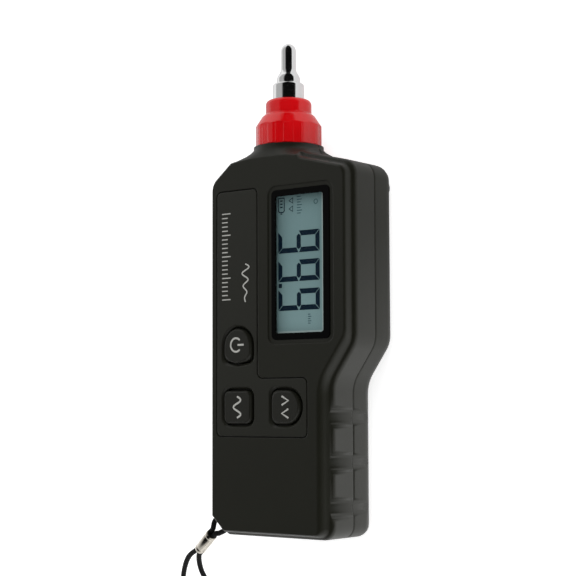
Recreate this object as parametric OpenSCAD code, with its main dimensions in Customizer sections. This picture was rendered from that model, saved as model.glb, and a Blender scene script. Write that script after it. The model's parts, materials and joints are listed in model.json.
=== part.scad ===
// Handheld vibration meter: a moulded two-part housing with a side grip, a display window,
// an inlaid keypad, a screwed red collar and a screwed steel probe tip.
// x runs across the face, y towards the probe tip, and z out of the display face.

/* [Housing] */
// Width of the grip, centred on the probe axis
grip_w = 56; // [54:0.5:60]
// How far the display end stands out past the grip
side_step = 10; // [8:0.5:12]
// Depth from the back to the front face
body_d = 29; // [28.5:0.25:32]
// Wall thickness of the two shells
wall = 2.2; // [2:0.1:2.4]
// Length of the straight grip
grip_l = 55.3; // [50:0.5:58]
// Length over which the side widens from the grip
step_l = 14.2; // [12:0.5:16]
// Distance from the bottom to the right shoulder
shoulder_y = 133.4; // [133:0.2:136]
// Rise of the right shoulder up to the foot of the neck
shoulder_rise = 6; // [5:0.2:7]
// Height of the neck above the foot of the shoulder
neck_h = 4; // [3.6:0.2:5]
// Radius of the neck under the collar
neck_r = 13.1; // [12.9:0.1:13.5]
// Height of the parting line above the back
parting_z = 13.3; // [12.6:0.1:14]
// Width of the corner cut beside the strap eye
corner_cut_w = 7.4; // [6.6:0.2:8]
// Height of the corner cut beside the strap eye
corner_cut_h = 7.2; // [6.6:0.2:8]
// Radius of the long edges at the back
back_edge_r = 6; // [5:0.5:7]
// How far the front face is set in from the side
face_inset = 3.1; // [2.6:0.1:3.6]
// How much further it is set in along the grip
grip_inset = 2; // [1:0.1:2.6]
// Height of the rim between the side and the front face
rim_h = 5.1; // [4.4:0.1:5.6]
// Radius of the finger hollows in the grip
finger_r = 6.7; // [6:0.1:9]
// Depth of a finger hollow at the front of the grip
finger_depth = 1.9; // [1:0.1:2]
// Distance between finger hollows
finger_pitch = 16; // [14.5:0.5:17]

/* [Display] */
// Width of the black display frame
bezel_w = 26; // [24:0.5:26.5]
// Length of the black display frame
bezel_l = 54.2; // [50:0.5:55]
// Distance from the probe axis to the middle of the display
bezel_x = 16.1; // [15.6:0.1:16.4]
// Distance from the bottom to the middle of the display
bezel_y = 98.2; // [97:0.2:98.6]
// Width of the border of the display frame
bezel_border = 2.25; // [2:0.05:3]

/* [Keypad] */
// Depth of the inlaid keypad panel
panel_t = 1; // [0.8:0.1:1.1]
// Groove round the keypad panel
panel_groove = 0.45; // [0.3:0.05:0.6]
// Width of the keys
key_w = 13.8; // [12:0.2:14.2]
// Height of the keys
key_h = 13.1; // [12:0.2:13.6]
// Travel of a key when it is pressed
key_travel = 0.6; // [0.3:0.05:0.65]

/* [Collar and probe] */
// Radius across the corners of the collar's grip ring
collar_r = 12.4; // [12.2:0.1:13]
// Height of the collar's grip ring
collar_skirt_h = 7.8; // [7.4:0.1:9]
// Height of the collar's sloping shoulder
collar_slope_h = 4.5; // [4:0.1:5.4]
// Height of the collar's crown
collar_crown_h = 5.6; // [5.2:0.1:7]
// Radius of the collar's crown
collar_crown_r = 8.6; // [8.3:0.1:9]
// Length of the probe tip from the collar to its point
probe_l = 21.6; // [18:0.2:26]
// Radius of the probe stem
probe_r = 2.9; // [2.4:0.1:3.2]
// Radius of the foot of the probe tip
probe_foot_r = 5.9; // [5.4:0.1:5.9]

/* [Battery] */
// Width of the battery
battery_w = 26.2; // [25.5:0.1:26.6]
// Length of the battery
battery_l = 48; // [46:0.5:48.5]
// Thickness of the battery
battery_t = 17; // [16:0.1:17.2]
// Thickness of the battery cover
cover_t = 2; // [1.9:0.05:2.1]

/* [Strap] */
// Diameter of the cord of the strap
strap_d = 2; // [1.7:0.1:2.1]
// Length of the metal sleeve that joins the strap
ferrule_l = 11; // [10:0.5:12]
// Diameter of the metal sleeve
ferrule_d = 4.4; // [4.3:0.1:4.8]

/* [Hidden] */

// Fineness of curves, how far cuts overrun, and the usual gaps
fine = 64;
corner_steps = 5;
overrun = 1;
slip = 0.1;
gap = 0.25;
least_r = 0.3;

// Places that follow from the housing's sizes
side_x = grip_w / 2;
bulge_x = side_x + side_step;
step_y = grip_l + step_l;
foot_y = shoulder_y + shoulder_rise;
neck_y = foot_y + neck_h;
axis_z = body_d / 2;
face_z = body_d;
inner_z = body_d - wall;
crease_z = body_d - rim_h;
collar_y = neck_y + slip;
slope_y = collar_y + collar_skirt_h;
crown_y = slope_y + collar_slope_h;
probe_y = crown_y + collar_crown_h;
total_l = probe_y + probe_l;

// The outline of the housing from the cut corner round, and the radius of each corner
neck_flare = 1.1;
cut_r = 1.6;
grip_corner_r = 5;
step_low_r = 12;
step_high_r = 10;
shoulder_r = 6;
neck_foot_r = 3;
neck_edge_r = 0.4;
left_shoulder_r = 8;
left_shoulder_drop = 1.9;
outline = [[-side_x, corner_cut_h], [corner_cut_w - side_x, 0], [side_x, 0], [side_x, grip_l],
    [bulge_x, step_y], [bulge_x, shoulder_y], [neck_r + neck_flare, foot_y], [neck_r, neck_y],
    [-neck_r, neck_y], [-side_x, shoulder_y - left_shoulder_drop]];
outline_r = [cut_r, cut_r, grip_corner_r, step_low_r, step_high_r, shoulder_r, neck_foot_r,
    neck_edge_r, neck_edge_r, left_shoulder_r];
// Share of the face's inset, and of the grip's extra inset, that each edge takes
face_edge_shares = [0.65, 0.65, 1, 1, 1, 1, 0.4, 0, 1, 1];
wall_edge_shares = [1, 1, 1, 1, 1, 1, 1, 1, 1, 1];
grip_edge_shares = [0, 0, 1, 0.6, 0, 0, 0, 0, 0, 0];

// The rim of the front face: shares of its inset, of the grip's extra inset and of its height
rim_shares = [[0, 0, 0], [0.05, 0, 0.16], [0.2, 0, 0.29], [0.36, 0, 0.32], [0.46, 0.05, 0.35],
    [0.56, 0.15, 0.41], [0.62, 0.4, 0.62], [0.7, 0.65, 0.8], [0.8, 0.85, 0.92], [1, 1, 1]];
// The groove along the parting line
groove_w = 0.3;
groove_depth = 0.35;
back_steps = 6;

// Unit normal that points out of the edge from a to b
function out_normal(a, b) = [b[1] - a[1], a[0] - b[0]] / norm(b - a);

// Where two edges through p with normals m and n cross once they move in by a and b
function moved_corner(p, m, n, a, b) =
    p + [b * m[1] - a * n[1], a * n[0] - b * m[0]] / (m[0] * n[1] - m[1] * n[0]);

// Points of the rounded corner at v between its neighbours p and q
function corner_points(p, v, q, r, turn) =
    let(
        u = (p - v) / norm(p - v),
        w = (q - v) / norm(q - v),
        half = acos(u * w) / 2,
        middle = v + (u + w) / norm(u + w) * r / sin(half),
        start = v + u * r / tan(half) - middle,
        first = atan2(start[1], start[0]),
        swing = turn * (180 - 2 * half)
    )
    [for (i = [0 : corner_steps]) let(a = first + swing * i / corner_steps)
        middle + r * [cos(a), sin(a)]];

function left_turn(p, v, q) =
    (v[0] - p[0]) * (q[1] - v[1]) - (v[1] - p[1]) * (q[0] - v[0]) > 0 ? 1 : -1;

// The corners of a path once each edge moves in by its own amount, rounded
function inset_path(path, radii, moves) =
    let(
        n = len(path),
        normals = [for (i = [0 : n - 1]) out_normal(path[i], path[(i + 1) % n])],
        moved = [for (i = [0 : n - 1]) let(j = (i + n - 1) % n)
            moved_corner(path[i], normals[j], normals[i], moves[j], moves[i])]
    )
    [for (i = [0 : n - 1])
        let(
            j = (i + n - 1) % n,
            k = (i + 1) % n,
            turn = left_turn(path[j], path[i], path[k]),
            r = max(radii[i] - turn * (moves[i] + moves[j]) / 2, least_r)
        )
        each corner_points(moved[j], moved[i], moved[k], r, turn)];

function inset_outline(inset, extra, shares) =
    inset_path(outline, outline_r, inset * shares + extra * grip_edge_shares);

function at_height(points, z) = [for (p = points) [p[0], p[1], z]];

// A solid lofted through rings of as many points each, from the lowest up
module loft(rings) {
    n = len(rings[0]);
    last = len(rings) - 1;
    sides = [for (i = [0 : last - 1], k = [0 : n - 1])
        let(a = i * n + k, b = i * n + (k + 1) % n) each [[a, a + n, b + n], [a, b + n, b]]];
    polyhedron(
        [for (r = rings) each r],
        concat(sides, [[for (k = [0 : n - 1]) k]], [[for (k = [n - 1 : -1 : 0]) last * n + k]])
    );
}

// The front half of the outer form, up to the raised face
module front_form() {
    low = at_height(inset_outline(groove_depth, 0, wall_edge_shares), parting_z);
    lip = at_height(inset_outline(groove_depth, 0, wall_edge_shares), parting_z + groove_w / 2);
    side = at_height(inset_outline(0, 0, wall_edge_shares),
        parting_z + groove_w / 2 + groove_depth);
    rim = [for (s = rim_shares)
        at_height(inset_outline(s[0] * face_inset, s[1] * grip_inset, face_edge_shares),
            crease_z + s[2] * rim_h)];
    loft(concat([low, lip, side], rim));
}

// The back half of the outer form, with its rounded edge
module back_form() {
    low = at_height(inset_outline(groove_depth, 0, wall_edge_shares), parting_z);
    lip = at_height(inset_outline(groove_depth, 0, wall_edge_shares), parting_z - groove_w / 2);
    side = at_height(inset_outline(0, 0, wall_edge_shares),
        parting_z - groove_w / 2 - groove_depth);
    edge = [for (i = [0 : back_steps]) let(a = 90 - 90 * i / back_steps)
        at_height(inset_outline(back_edge_r * (1 - cos(a)), 0, face_edge_shares),
            back_edge_r * (1 - sin(a)))];
    loft(concat(edge, [side, lip, low]));
}

// The round neck grows into the flat housing over this many rings: shares of the drop
// and of the growth sideways and in depth, and how square each ring is
neck_drop = 9;
neck_grow_x = 32;
neck_grow_z = 3;
neck_sides = 48;
neck_ring_shares = [[1, 1, 1, 0.9], [0.84, 0.6, 0.76, 0.5], [0.7, 0.36, 0.6, 0.3],
    [0.56, 0.19, 0.42, 0.16], [0.42, 0.09, 0.25, 0.08], [0.28, 0.03, 0.1, 0.03],
    [0.14, 0, 0, 0], [-0.2, 0, 0, 0]];
squarest = 10;

function signed_power(v, e) = sign(v) * pow(abs(v), e);

function neck_ring(s) =
    let(
        rx = neck_r + s[1] * neck_grow_x,
        rz = neck_r + s[2] * neck_grow_z,
        e = 2 / (2 + s[3] * squarest)
    )
    [for (k = [0 : neck_sides - 1]) let(a = 360 * k / neck_sides)
        [rx * signed_power(sin(a), e), neck_y - s[0] * neck_drop,
            axis_z + rz * signed_power(cos(a), e)]];

// Everything that the neck's shoulder leaves, so that the housing runs out round
module neck_envelope() {
    loft([for (s = neck_ring_shares) neck_ring(s)]);
    translate([-2 * bulge_x, -overrun, -body_d])
        cube([4 * bulge_x, neck_y - neck_drop + overrun + slip, 3 * body_d]);
}

// A cylinder along the probe axis between two heights
module along_axis(y0, y1, r) {
    translate([0, y0, axis_z]) rotate([-90, 0, 0]) cylinder(h = y1 - y0, r = r, $fn = fine);
}

// The halves of the housing meet at the parting line
module half_space(front) {
    z0 = front ? parting_z : -overrun;
    z1 = front ? body_d + overrun : parting_z;
    translate([-bulge_x, -overrun, z0]) cube([2 * bulge_x, total_l, z1 - z0]);
}

// The neck's spigot, which the collar screws on, and the sleeve round the sensor
spigot_r = 9.4;
spigot_h = 7.2;
spigot_y = neck_y + spigot_h;
sensor_bore_r = 8.3;
sleeve_wall = 1.5;
bore_drop = 15.8;
bore_y = neck_y - bore_drop;
hollow_y = neck_y - neck_drop;

module neck_parts(front) {
    intersection() {
        union() {
            along_axis(neck_y - overrun, spigot_y, spigot_r);
            along_axis(bore_y, hollow_y + overrun, sensor_bore_r + sleeve_wall);
        }
        half_space(front);
    }
}

module sensor_bore() {
    along_axis(bore_y - overrun, spigot_y + overrun, sensor_bore_r);
}

// Finger hollows in the side of the grip, deepest at the front
finger_y = 27.2;
module finger_hollows() {
    depth = body_d + 2 * overrun;
    tilt = atan(finger_depth / body_d);
    for (i = [-1 : 1])
        translate([side_x - finger_depth + finger_r, finger_y + i * finger_pitch, body_d])
            rotate([0, -tilt, 0]) translate([0, 0, overrun - depth])
                cylinder(h = depth, r = finger_r, $fn = fine);
}

// The board lies behind the keys, and carries the display
board_t = 1.6;
board_drop = 7.4;
board_z = body_d - board_drop;
board_top_z = board_z + board_t;

// How far the inside of the front shell is set in up at its face
inside_share = 0.7;
inside_inset = wall + face_inset * inside_share;

// Screws of the housing and of the board
case_boss_r = 2.6;
rear_boss_r = 3.9;
pilot_r = 1.2;
board_pilot_r = 0.9;
board_boss_r = 1.9;
counterbore_r = 2.9;
counterbore_h = 7.5;
screw_reach = 9;
board_screw_reach = 2.9;
boss_in = 7;
boss_low_y = 14;
boss_left_y = 119.5;
boss_right_y = 126.2;
boss_right_in = 5;
screw_spots = [[-side_x + boss_in, boss_low_y], [side_x - boss_in - slip, boss_low_y],
    [-side_x + boss_in - case_boss_r / 2, boss_left_y], [bulge_x - boss_right_in, boss_right_y]];
board_boss_in = 7.8;
board_boss_low_y = 34;
board_boss_mid_x = 15.8;
board_boss_mid_y = 100;
board_boss_right_in = 6.1;
board_boss_right_y = 84;
board_spots = [[-side_x + board_boss_in, board_boss_low_y],
    [side_x - board_boss_in, board_boss_low_y], [-board_boss_mid_x, board_boss_mid_y],
    [bulge_x - board_boss_right_in, board_boss_right_y]];

module spots(places) {
    for (p = places) translate([p[0], p[1], 0]) children();
}

// A plate with rounded corners
module rounded_plate(w, l, r) {
    union() {
        square([w, l - 2 * r], center = true);
        square([w - 2 * r, l], center = true);
        for (x = [-1, 1], y = [-1, 1]) translate([x * (w / 2 - r), y * (l / 2 - r)])
            circle(r, $fn = fine);
    }
}

module rounded_box(w, l, r, h) {
    linear_extrude(h) rounded_plate(w, l, r);
}

// Display: a black frame let into the face, a window under it and the glass below
bezel_t = 0.6;
opening_shift = 0.5;
bezel_r = 1.8;
dish_w = 1.7;
dish_depth = 0.3;
lens_t = 1.6;
lens_lip = 1;
opening_w = bezel_w - 2 * bezel_border;
opening_l = bezel_l - 2 * bezel_border;
lens_w = opening_w + 2 * lens_lip;
lens_l = opening_l + 2 * lens_lip;

module at_display(z) {
    translate([bezel_x, bezel_y, z]) children();
}

// The opening sits a little towards the grip in its frame
module at_opening(z) {
    translate([bezel_x - opening_shift, bezel_y, z]) children();
}

// Keypad: the panel is an L that goes round the display
panel_left = 23.1;
panel_right = 19.2;
panel_bend = 3.35;
panel_low = 35.9;
panel_step = 57.5;
panel_high = 127.2;
panel_r = 2.2;
panel_outline = [[-panel_left, panel_low], [panel_right, panel_low], [panel_right, panel_step],
    [-panel_bend, panel_step], [-panel_bend, panel_high], [-panel_left, panel_high]];

module panel_plate(inset) {
    polygon(inset_path(panel_outline, [for (p = panel_outline) panel_r],
        [for (p = panel_outline) inset]));
}

// Keys: squares, two of them with a round side
KINDS = ["measure", "mode", "range"];
key_column_x = 12.8;
key_row_y = 46.9;
key_range_x = 9.5;
key_measure_y = 69.7;
key_r = 2.8;
key_gap = 0.3;
key_crown = 0.5;
key_bevel = 0.9;
key_flange = 0.7;
flange_t = 0.7;
stem_r = 1.6;
switch_h = 1.3;
well_w = 0.9;
well_depth_share = 0.75;
flange_z = inner_z - 2 * slip - flange_t;
stem_z = board_top_z + switch_h + key_travel + slip;

module round_end_plate(w, h) {
    hull() {
        translate([0, h / 2 - w / 2]) circle(w / 2, $fn = 32);
        for (x = [-1, 1]) translate([x * (w / 2 - key_r), key_r - h / 2]) circle(key_r, $fn = 24);
    }
}

module key_outline(kind, grow) {
    w = key_w + 2 * grow;
    h = key_h + 2 * grow;
    if (kind == "measure") round_end_plate(w, h);
    if (kind == "mode") rounded_plate(w, h, key_r + grow);
    if (kind == "range") rotate(-90) round_end_plate(h, w);
}

module at_key(kind) {
    x = kind == "range" ? key_range_x : -key_column_x;
    y = kind == "measure" ? key_measure_y : key_row_y;
    translate([x, y, 0]) children();
}

module key_hole(kind, grow, z0, z1) {
    at_key(kind) translate([0, 0, z0]) linear_extrude(z1 - z0) key_outline(kind, grow);
}

// The strap's eye: a post in a pocket behind the cut corner
eye_in = 3.6;
eye_y = 4.2;
eye_drop = 5.4;
eye_z = body_d - eye_drop;
post_r = 1.5;
strap_room = 0.6;
pocket_r = post_r + strap_d + strap_room;
pocket_h = strap_d + strap_room;
eye_block = 10.4;

module strap_pocket() {
    translate([eye_in - side_x, eye_y, eye_z]) difference() {
        cylinder(h = pocket_h, r = pocket_r, center = true, $fn = fine);
        cylinder(h = 2 * pocket_h, r = post_r, center = true, $fn = fine);
    }
}

// The hollow inside the shells between two heights, clear of the eye and the neck
module hollow(inset, z0, z1) {
    difference() {
        translate([0, 0, z0]) linear_extrude(z1 - z0)
            polygon(inset_outline(inset, grip_inset, wall_edge_shares));
        translate([-side_x - overrun, -overrun, z0 - overrun])
            cube([eye_block + overrun, eye_block + overrun, body_d]);
        translate([-bulge_x, hollow_y, z0 - overrun]) cube([2 * bulge_x, total_l, body_d]);
    }
}

// The part stands in the middle of its length and width
module placed() {
    translate([-side_step / 2, -total_l / 2, 0]) children();
}

module front_shell() color("#3a3b38") placed() {
    difference() {
        union() {
            difference() {
                intersection() {
                    front_form();
                    neck_envelope();
                }
                hollow(wall, parting_z - overrun, crease_z - wall / 2);
                hollow(inside_inset, crease_z - wall, inner_z);
            }
            neck_parts(true);
            spots(screw_spots) translate([0, 0, parting_z])
                cylinder(h = inner_z + slip - parting_z, r = case_boss_r, $fn = fine);
            spots(board_spots) translate([0, 0, board_top_z])
                cylinder(h = inner_z + slip - board_top_z, r = board_boss_r, $fn = fine);
        }
        sensor_bore();
        finger_hollows();
        strap_pocket();
        spots(screw_spots) translate([0, 0, parting_z - overrun])
            cylinder(h = screw_reach + overrun + slip, r = pilot_r, $fn = fine);
        spots(board_spots) translate([0, 0, board_top_z - overrun])
            cylinder(h = board_screw_reach + overrun + slip, r = board_pilot_r, $fn = fine);
        // Seat of the display frame, with its shallow dish, and the opening under it
        at_display(face_z - dish_depth)
            rounded_box(bezel_w + 2 * dish_w, bezel_l + 2 * dish_w, bezel_r + dish_w, overrun);
        at_display(face_z - bezel_t)
            rounded_box(bezel_w + 2 * slip, bezel_l + 2 * slip, bezel_r + slip, 2 * bezel_t);
        at_opening(inner_z - overrun)
            rounded_box(lens_w + 2 * slip, lens_l + 2 * slip, bezel_r / 2, wall + overrun);
        // Seat of the keypad panel and the openings for the keys
        translate([0, 0, face_z - panel_t]) linear_extrude(panel_t + overrun) panel_plate(0);
        for (k = KINDS) key_hole(k, slip, inner_z - overrun, face_z);
    }
}

// Battery bay, and the rails that its cover slides in
cover_side = 2.2;
cover_w = battery_w + 2 * cover_side;
cover_tongue = 1.2;
cover_l = 58;
cover_step_z = cover_t * 0.6;
bay_wall = 1.5;
bay_gap = 1.3;
bay_x = battery_w / 2 + bay_gap;
bay_drop = 8.7;
bay_top = body_d - bay_drop;
rail_h = 2;
rail_w = 3.4;
rail_gap = 0.15;
battery_y = 6.6;
battery_z = cover_t + 2 * slip;

module cover_space(side_gap, end_gap, z_gap) {
    w = cover_w + 2 * side_gap;
    l = cover_l + overrun + end_gap;
    translate([-w / 2, -overrun, -overrun]) cube([w, l, cover_step_z + overrun + z_gap]);
    translate([-w / 2 - cover_tongue, -overrun, cover_step_z - z_gap])
        cube([w + 2 * cover_tongue, l, cover_t - cover_step_z + 2 * z_gap]);
}

module rear_shell() color("#3d3e3b") placed() {
    difference() {
        union() {
            difference() {
                intersection() {
                    back_form();
                    neck_envelope();
                }
                hollow(wall, back_edge_r, parting_z + overrun);
                hollow(wall + back_edge_r * (1 - inside_share), wall, back_edge_r + slip);
            }
            neck_parts(false);
            spots(screw_spots) translate([0, 0, wall - slip])
                cylinder(h = parting_z - wall + slip, r = rear_boss_r, $fn = fine);
            // Side walls of the battery bay, and the rails at their feet
            for (s = [-1, 1]) {
                translate([s * (bay_x + bay_wall / 2) - bay_wall / 2, wall, wall - slip])
                    cube([bay_wall, cover_l, bay_top - wall + slip]);
                translate([s * (bay_x + rail_w / 2 + slip) - rail_w / 2, wall, wall - slip])
                    cube([rail_w, cover_l, rail_h]);
            }
        }
        sensor_bore();
        finger_hollows();
        spots(screw_spots) translate([0, 0, -overrun]) {
            cylinder(h = counterbore_h + overrun, r = counterbore_r, $fn = fine);
            cylinder(h = body_d, r = pilot_r + slip, $fn = fine);
        }
        cover_space(rail_gap, rail_gap, rail_gap);
        translate([-bay_x, wall + rail_gap, -overrun]) cube([2 * bay_x, cover_l - wall, body_d]);
    }
}

module keypad_panel() color("#33342f") placed() {
    difference() {
        translate([0, 0, face_z - panel_t]) linear_extrude(panel_t)
            panel_plate(panel_groove);
        for (k = KINDS) {
            key_hole(k, slip, face_z - panel_t - overrun, face_z + overrun);
            // The sloping mouth of the well
            at_key(k) hull() {
                translate([0, 0, face_z - panel_t * well_depth_share]) linear_extrude(slip)
                    key_outline(k, slip);
                translate([0, 0, face_z]) linear_extrude(slip) key_outline(k, well_w);
            }
        }
    }
}

module key(kind) {
    at_key(kind) {
        hull() {
            translate([0, 0, flange_z]) linear_extrude(slip) key_outline(kind, -key_gap);
            translate([0, 0, face_z - slip]) linear_extrude(slip)
                key_outline(kind, -key_gap - key_bevel / 4);
            translate([0, 0, face_z + key_crown - slip]) linear_extrude(slip)
                key_outline(kind, -key_gap - key_bevel);
        }
        translate([0, 0, flange_z]) linear_extrude(flange_t) key_outline(kind, key_flange);
        translate([0, 0, stem_z]) cylinder(h = flange_z - stem_z + slip, r = stem_r, $fn = fine);
    }
}

module measure_button() color("#2c2d2a") placed() key("measure");
module mode_button() color("#2c2d2a") placed() key("mode");
module range_button() color("#2c2d2a") placed() key("range");

module display_bezel() color("#0c0c0c") placed() at_display(face_z - bezel_t) difference() {
    rounded_box(bezel_w, bezel_l, bezel_r, bezel_t);
    translate([-opening_shift, 0, -overrun])
        rounded_box(opening_w, opening_l, bezel_r / 2, bezel_t + 2 * overrun);
}

module window_lens() color("#b8c4c4", 0.4) placed()
    at_opening(face_z - bezel_t - lens_t) rounded_box(lens_w, lens_l, bezel_r / 2, lens_t);

// The liquid crystal display in its frame under the window
lcd_side = 1;
lcd_w = lens_w + 2 * lcd_side;
lcd_l = lens_l + 2 * lcd_side;
lcd_t = 1.9;
lcd_z = face_z - bezel_t - lens_t - slip - lcd_t;
lcd_frame_wall = 1;
strip_w = 2;

module lcd_glass() color("#8fa3a3") placed() at_opening(lcd_z)
    translate([-lcd_w / 2, -lcd_l / 2, 0]) cube([lcd_w, lcd_l, lcd_t]);

module lcd_frame() color("#d8d8d2") placed() at_opening(board_top_z) difference() {
    rounded_box(lcd_w + 2 * lcd_frame_wall, lcd_l + 2 * lcd_frame_wall, lcd_frame_wall,
        inner_z - slip - board_top_z);
    translate([-lcd_w / 2 - slip, -lcd_l / 2 - slip, -overrun])
        cube([lcd_w + 2 * slip, lcd_l + 2 * slip, body_d]);
}

module backlight() color("#e6efe8") placed() at_opening(board_top_z)
    translate([strip_w + 2 * slip - lcd_w / 2, slip - lcd_l / 2, 0])
        cube([lcd_w - 2 * strip_w - 4 * slip, lcd_l - 2 * slip, lcd_z - board_top_z]);

module contact_strips() color("#c9786a") placed() at_opening(board_top_z)
    for (s = [-1, 1]) translate([s * (lcd_w - strip_w) / 2 - strip_w / 2, slip - lcd_l / 2, 0])
        cube([strip_w, lcd_l - 2 * slip, lcd_z - board_top_z]);

// The board: as wide as the grip behind the keys, and wider behind the display
board_gap = 0.5;
board_left = side_x - inside_inset - board_gap;
board_key_right = board_left - grip_inset;
board_right = bulge_x - inside_inset - board_gap;
board_neck_left = 18.6;
board_low = 30.5;
board_bend = 66;
board_notch_in = 3.4;
board_notch_y = 121;
board_high = 125.8;

module main_board() color("#1f6b3a") placed() difference() {
    translate([0, 0, board_z]) linear_extrude(board_t) polygon([[-board_left, board_low],
        [board_key_right, board_low], [board_key_right, board_bend],
        [board_right, board_bend + side_step], [board_right, board_notch_y],
        [board_right - board_notch_in, board_notch_y], [board_right - board_notch_in, board_high],
        [-board_neck_left, board_high], [-board_neck_left, board_bend], [-board_left, board_bend]]);
    spots(board_spots) translate([0, 0, board_z - overrun])
        cylinder(h = board_t + 2 * overrun, r = board_pilot_r + slip, $fn = fine);
}

switch_w = 6;
switch_cap_r = 1.5;
switch_body_share = 0.6;
module key_switches() color("#1a1a1a") placed() for (k = KINDS) at_key(k) {
    translate([-switch_w / 2, -switch_w / 2, board_top_z])
        cube([switch_w, switch_w, switch_h * switch_body_share]);
    translate([0, 0, board_top_z]) cylinder(h = switch_h, r = switch_cap_r, $fn = fine);
}

chip_w = 12;
chip_t = 1.4;
module processor_chip() color("#141414") placed()
    translate([bezel_x - chip_w / 2, bezel_y - chip_w / 2, board_z - chip_t])
        cube([chip_w, chip_w, chip_t]);

capacitor_r = 2.5;
capacitor_h = 6;
capacitor_x = 7.5;
capacitor_y = 84;
capacitor_pitch = 8;
module capacitors() color("#22304a") placed() for (i = [0 : 2])
    translate([-capacitor_x, capacitor_y + i * capacitor_pitch, board_z - capacitor_h])
        cylinder(h = capacitor_h, r = capacitor_r, $fn = fine);

crystal_w = 4;
crystal_l = 10;
crystal_t = 3.5;
crystal_end_share = 0.45;
module crystal_can() color("#b9bcc0") placed()
    translate([bezel_x, bezel_y + chip_w, board_z - crystal_t])
        rounded_box(crystal_l, crystal_w, crystal_w * crystal_end_share, crystal_t);

// Screws: a pan head with a cross recess and a plain shank
screw_gap = 0.05;
screw_head_h = 1.8;
board_head_h = 1.2;
recess_shares = [1.2, 0.26, 0.6];
module screw(head_r, head_h, shank_r, length) {
    difference() {
        union() {
            cylinder(h = head_h, r = head_r, $fn = fine);
            cylinder(h = head_h + length, r = shank_r, $fn = fine);
        }
        for (a = [0, 90]) rotate(a)
            translate([-head_r * recess_shares[0] / 2, -head_r * recess_shares[1] / 2, -slip])
                cube([head_r * recess_shares[0], head_r * recess_shares[1],
                    head_h * recess_shares[2]]);
    }
}

module case_screws() color("#8a8c8e") placed() spots(screw_spots)
    translate([0, 0, counterbore_h - screw_head_h])
        screw(counterbore_r - gap, screw_head_h, pilot_r - screw_gap,
            parting_z + screw_reach - counterbore_h);

module board_screws() color("#8a8c8e") placed() spots(board_spots)
    translate([0, 0, board_z - board_head_h])
        screw(board_boss_r, board_head_h, board_pilot_r - screw_gap, board_t + board_screw_reach);

// The sensor: a steel case in rubber rings, clamped to the neck by the collar
flange_y = spigot_y + slip;
case_flange_t = 1.5;
case_flange_r = 9.2;
sensor_r = 7.6;
nose_r = 6;
washer_t = 0.8;
sensor_in = 1.4;
sensor_low = bore_y + sensor_in;
sensor_wall = 1.2;
cable_hole_r = 1.3;
washer_y = flange_y + case_flange_t;
step_in_y = washer_y + washer_t;
nose_y = probe_y - washer_t;
stud_r = 2.45;
stud_l = 7.2;
bolt_r = 1.5;
bolt_in = 2.4;
cell_y = flange_y - sensor_wall;

module sensor_case() color("#9a9da0") placed() difference() {
    union() {
        along_axis(sensor_low, flange_y + slip, sensor_r);
        along_axis(flange_y, washer_y, case_flange_r);
        along_axis(washer_y - slip, nose_y, nose_r);
    }
    along_axis(sensor_low + sensor_wall, cell_y, sensor_r - sensor_wall);
    along_axis(cell_y - slip, cell_y + bolt_in + slip, bolt_r + screw_gap);
    along_axis(sensor_low - overrun, sensor_low + sensor_wall + overrun, cable_hole_r);
    along_axis(nose_y - stud_l - slip, nose_y + overrun, stud_r + screw_gap);
}

ring_w = 2;
ring_gap = 0.03;
module sensor_rings() color("#1c1c1c") placed()
    for (y = [sensor_low + ring_w, neck_y + ring_w]) difference() {
        along_axis(y, y + ring_w, sensor_bore_r - ring_gap);
        along_axis(y - overrun, y + ring_w + overrun, sensor_r + ring_gap);
    }

piezo_r = 4.8;
piezo_t = 1.6;
mass_h = 6.4;
mass_r = 5.6;
head_r = 2.8;
head_h = 2;
mass_y = cell_y - 2 * piezo_t - mass_h;

module piezo_rings() color("#d9d2b8") placed() for (i = [0, 1]) difference() {
    along_axis(cell_y - (i + 1) * piezo_t, cell_y - i * piezo_t, piezo_r - i * slip);
    along_axis(mass_y, cell_y + overrun, bolt_r + slip);
}

module seismic_mass() color("#b08d3c") placed() difference() {
    along_axis(mass_y, mass_y + mass_h, mass_r);
    along_axis(mass_y - overrun, mass_y + mass_h + overrun, bolt_r + slip);
}

module sensor_bolt() color("#8a8c8e") placed() {
    along_axis(mass_y - head_h, mass_y, head_r);
    along_axis(mass_y - slip, cell_y + bolt_in, bolt_r);
}

// The collar: a grip ring with twelve flats, a slope and a crown, screwed on the spigot
collar_sides = 12;
collar_turn = 5;
crown_round = 1.9;
skirt_edge = 0.3;
blunt_r = collar_r - 0.12;
step_share = 0.36;
step_h_share = 0.2;
nose_gap = 0.3;
ledge_r = collar_crown_r + (collar_r - collar_crown_r) * step_share;

module collar() color("#c21418") placed() difference() {
    intersection() {
        translate([0, 0, axis_z]) rotate([-90, 0, 0]) rotate_extrude($fn = fine) polygon([
            [0, collar_y], [blunt_r - skirt_edge, collar_y], [blunt_r, collar_y + skirt_edge],
            [blunt_r, slope_y], [ledge_r, crown_y - collar_slope_h * step_h_share],
            [collar_crown_r + skirt_edge, crown_y], [collar_crown_r, crown_y + skirt_edge],
            for (a = [0 : 15 : 90]) [collar_crown_r - crown_round * (1 - cos(a)),
                probe_y - crown_round * (1 - sin(a))],
            [0, probe_y]]);
        translate([0, 0, axis_z]) rotate([-90, 0, 0]) rotate(collar_turn)
            cylinder(h = total_l, r = collar_r + slip, $fn = collar_sides);
    }
    along_axis(collar_y - overrun, step_in_y, spigot_r + slip);
    along_axis(collar_y, probe_y + overrun, nose_r + nose_gap);
}

module collar_washer() color("#b9bcc0") placed() difference() {
    along_axis(washer_y, step_in_y, case_flange_r);
    along_axis(washer_y - overrun, step_in_y + overrun, nose_r + 2 * slip);
}

// The probe tip: a turned steel point on a round foot with a threaded stud
foot_h = 5.4;
foot_round = 0.9;
waist_r = 4.45;
waist_y = 6.6;
waist_h = 1.5;
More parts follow.
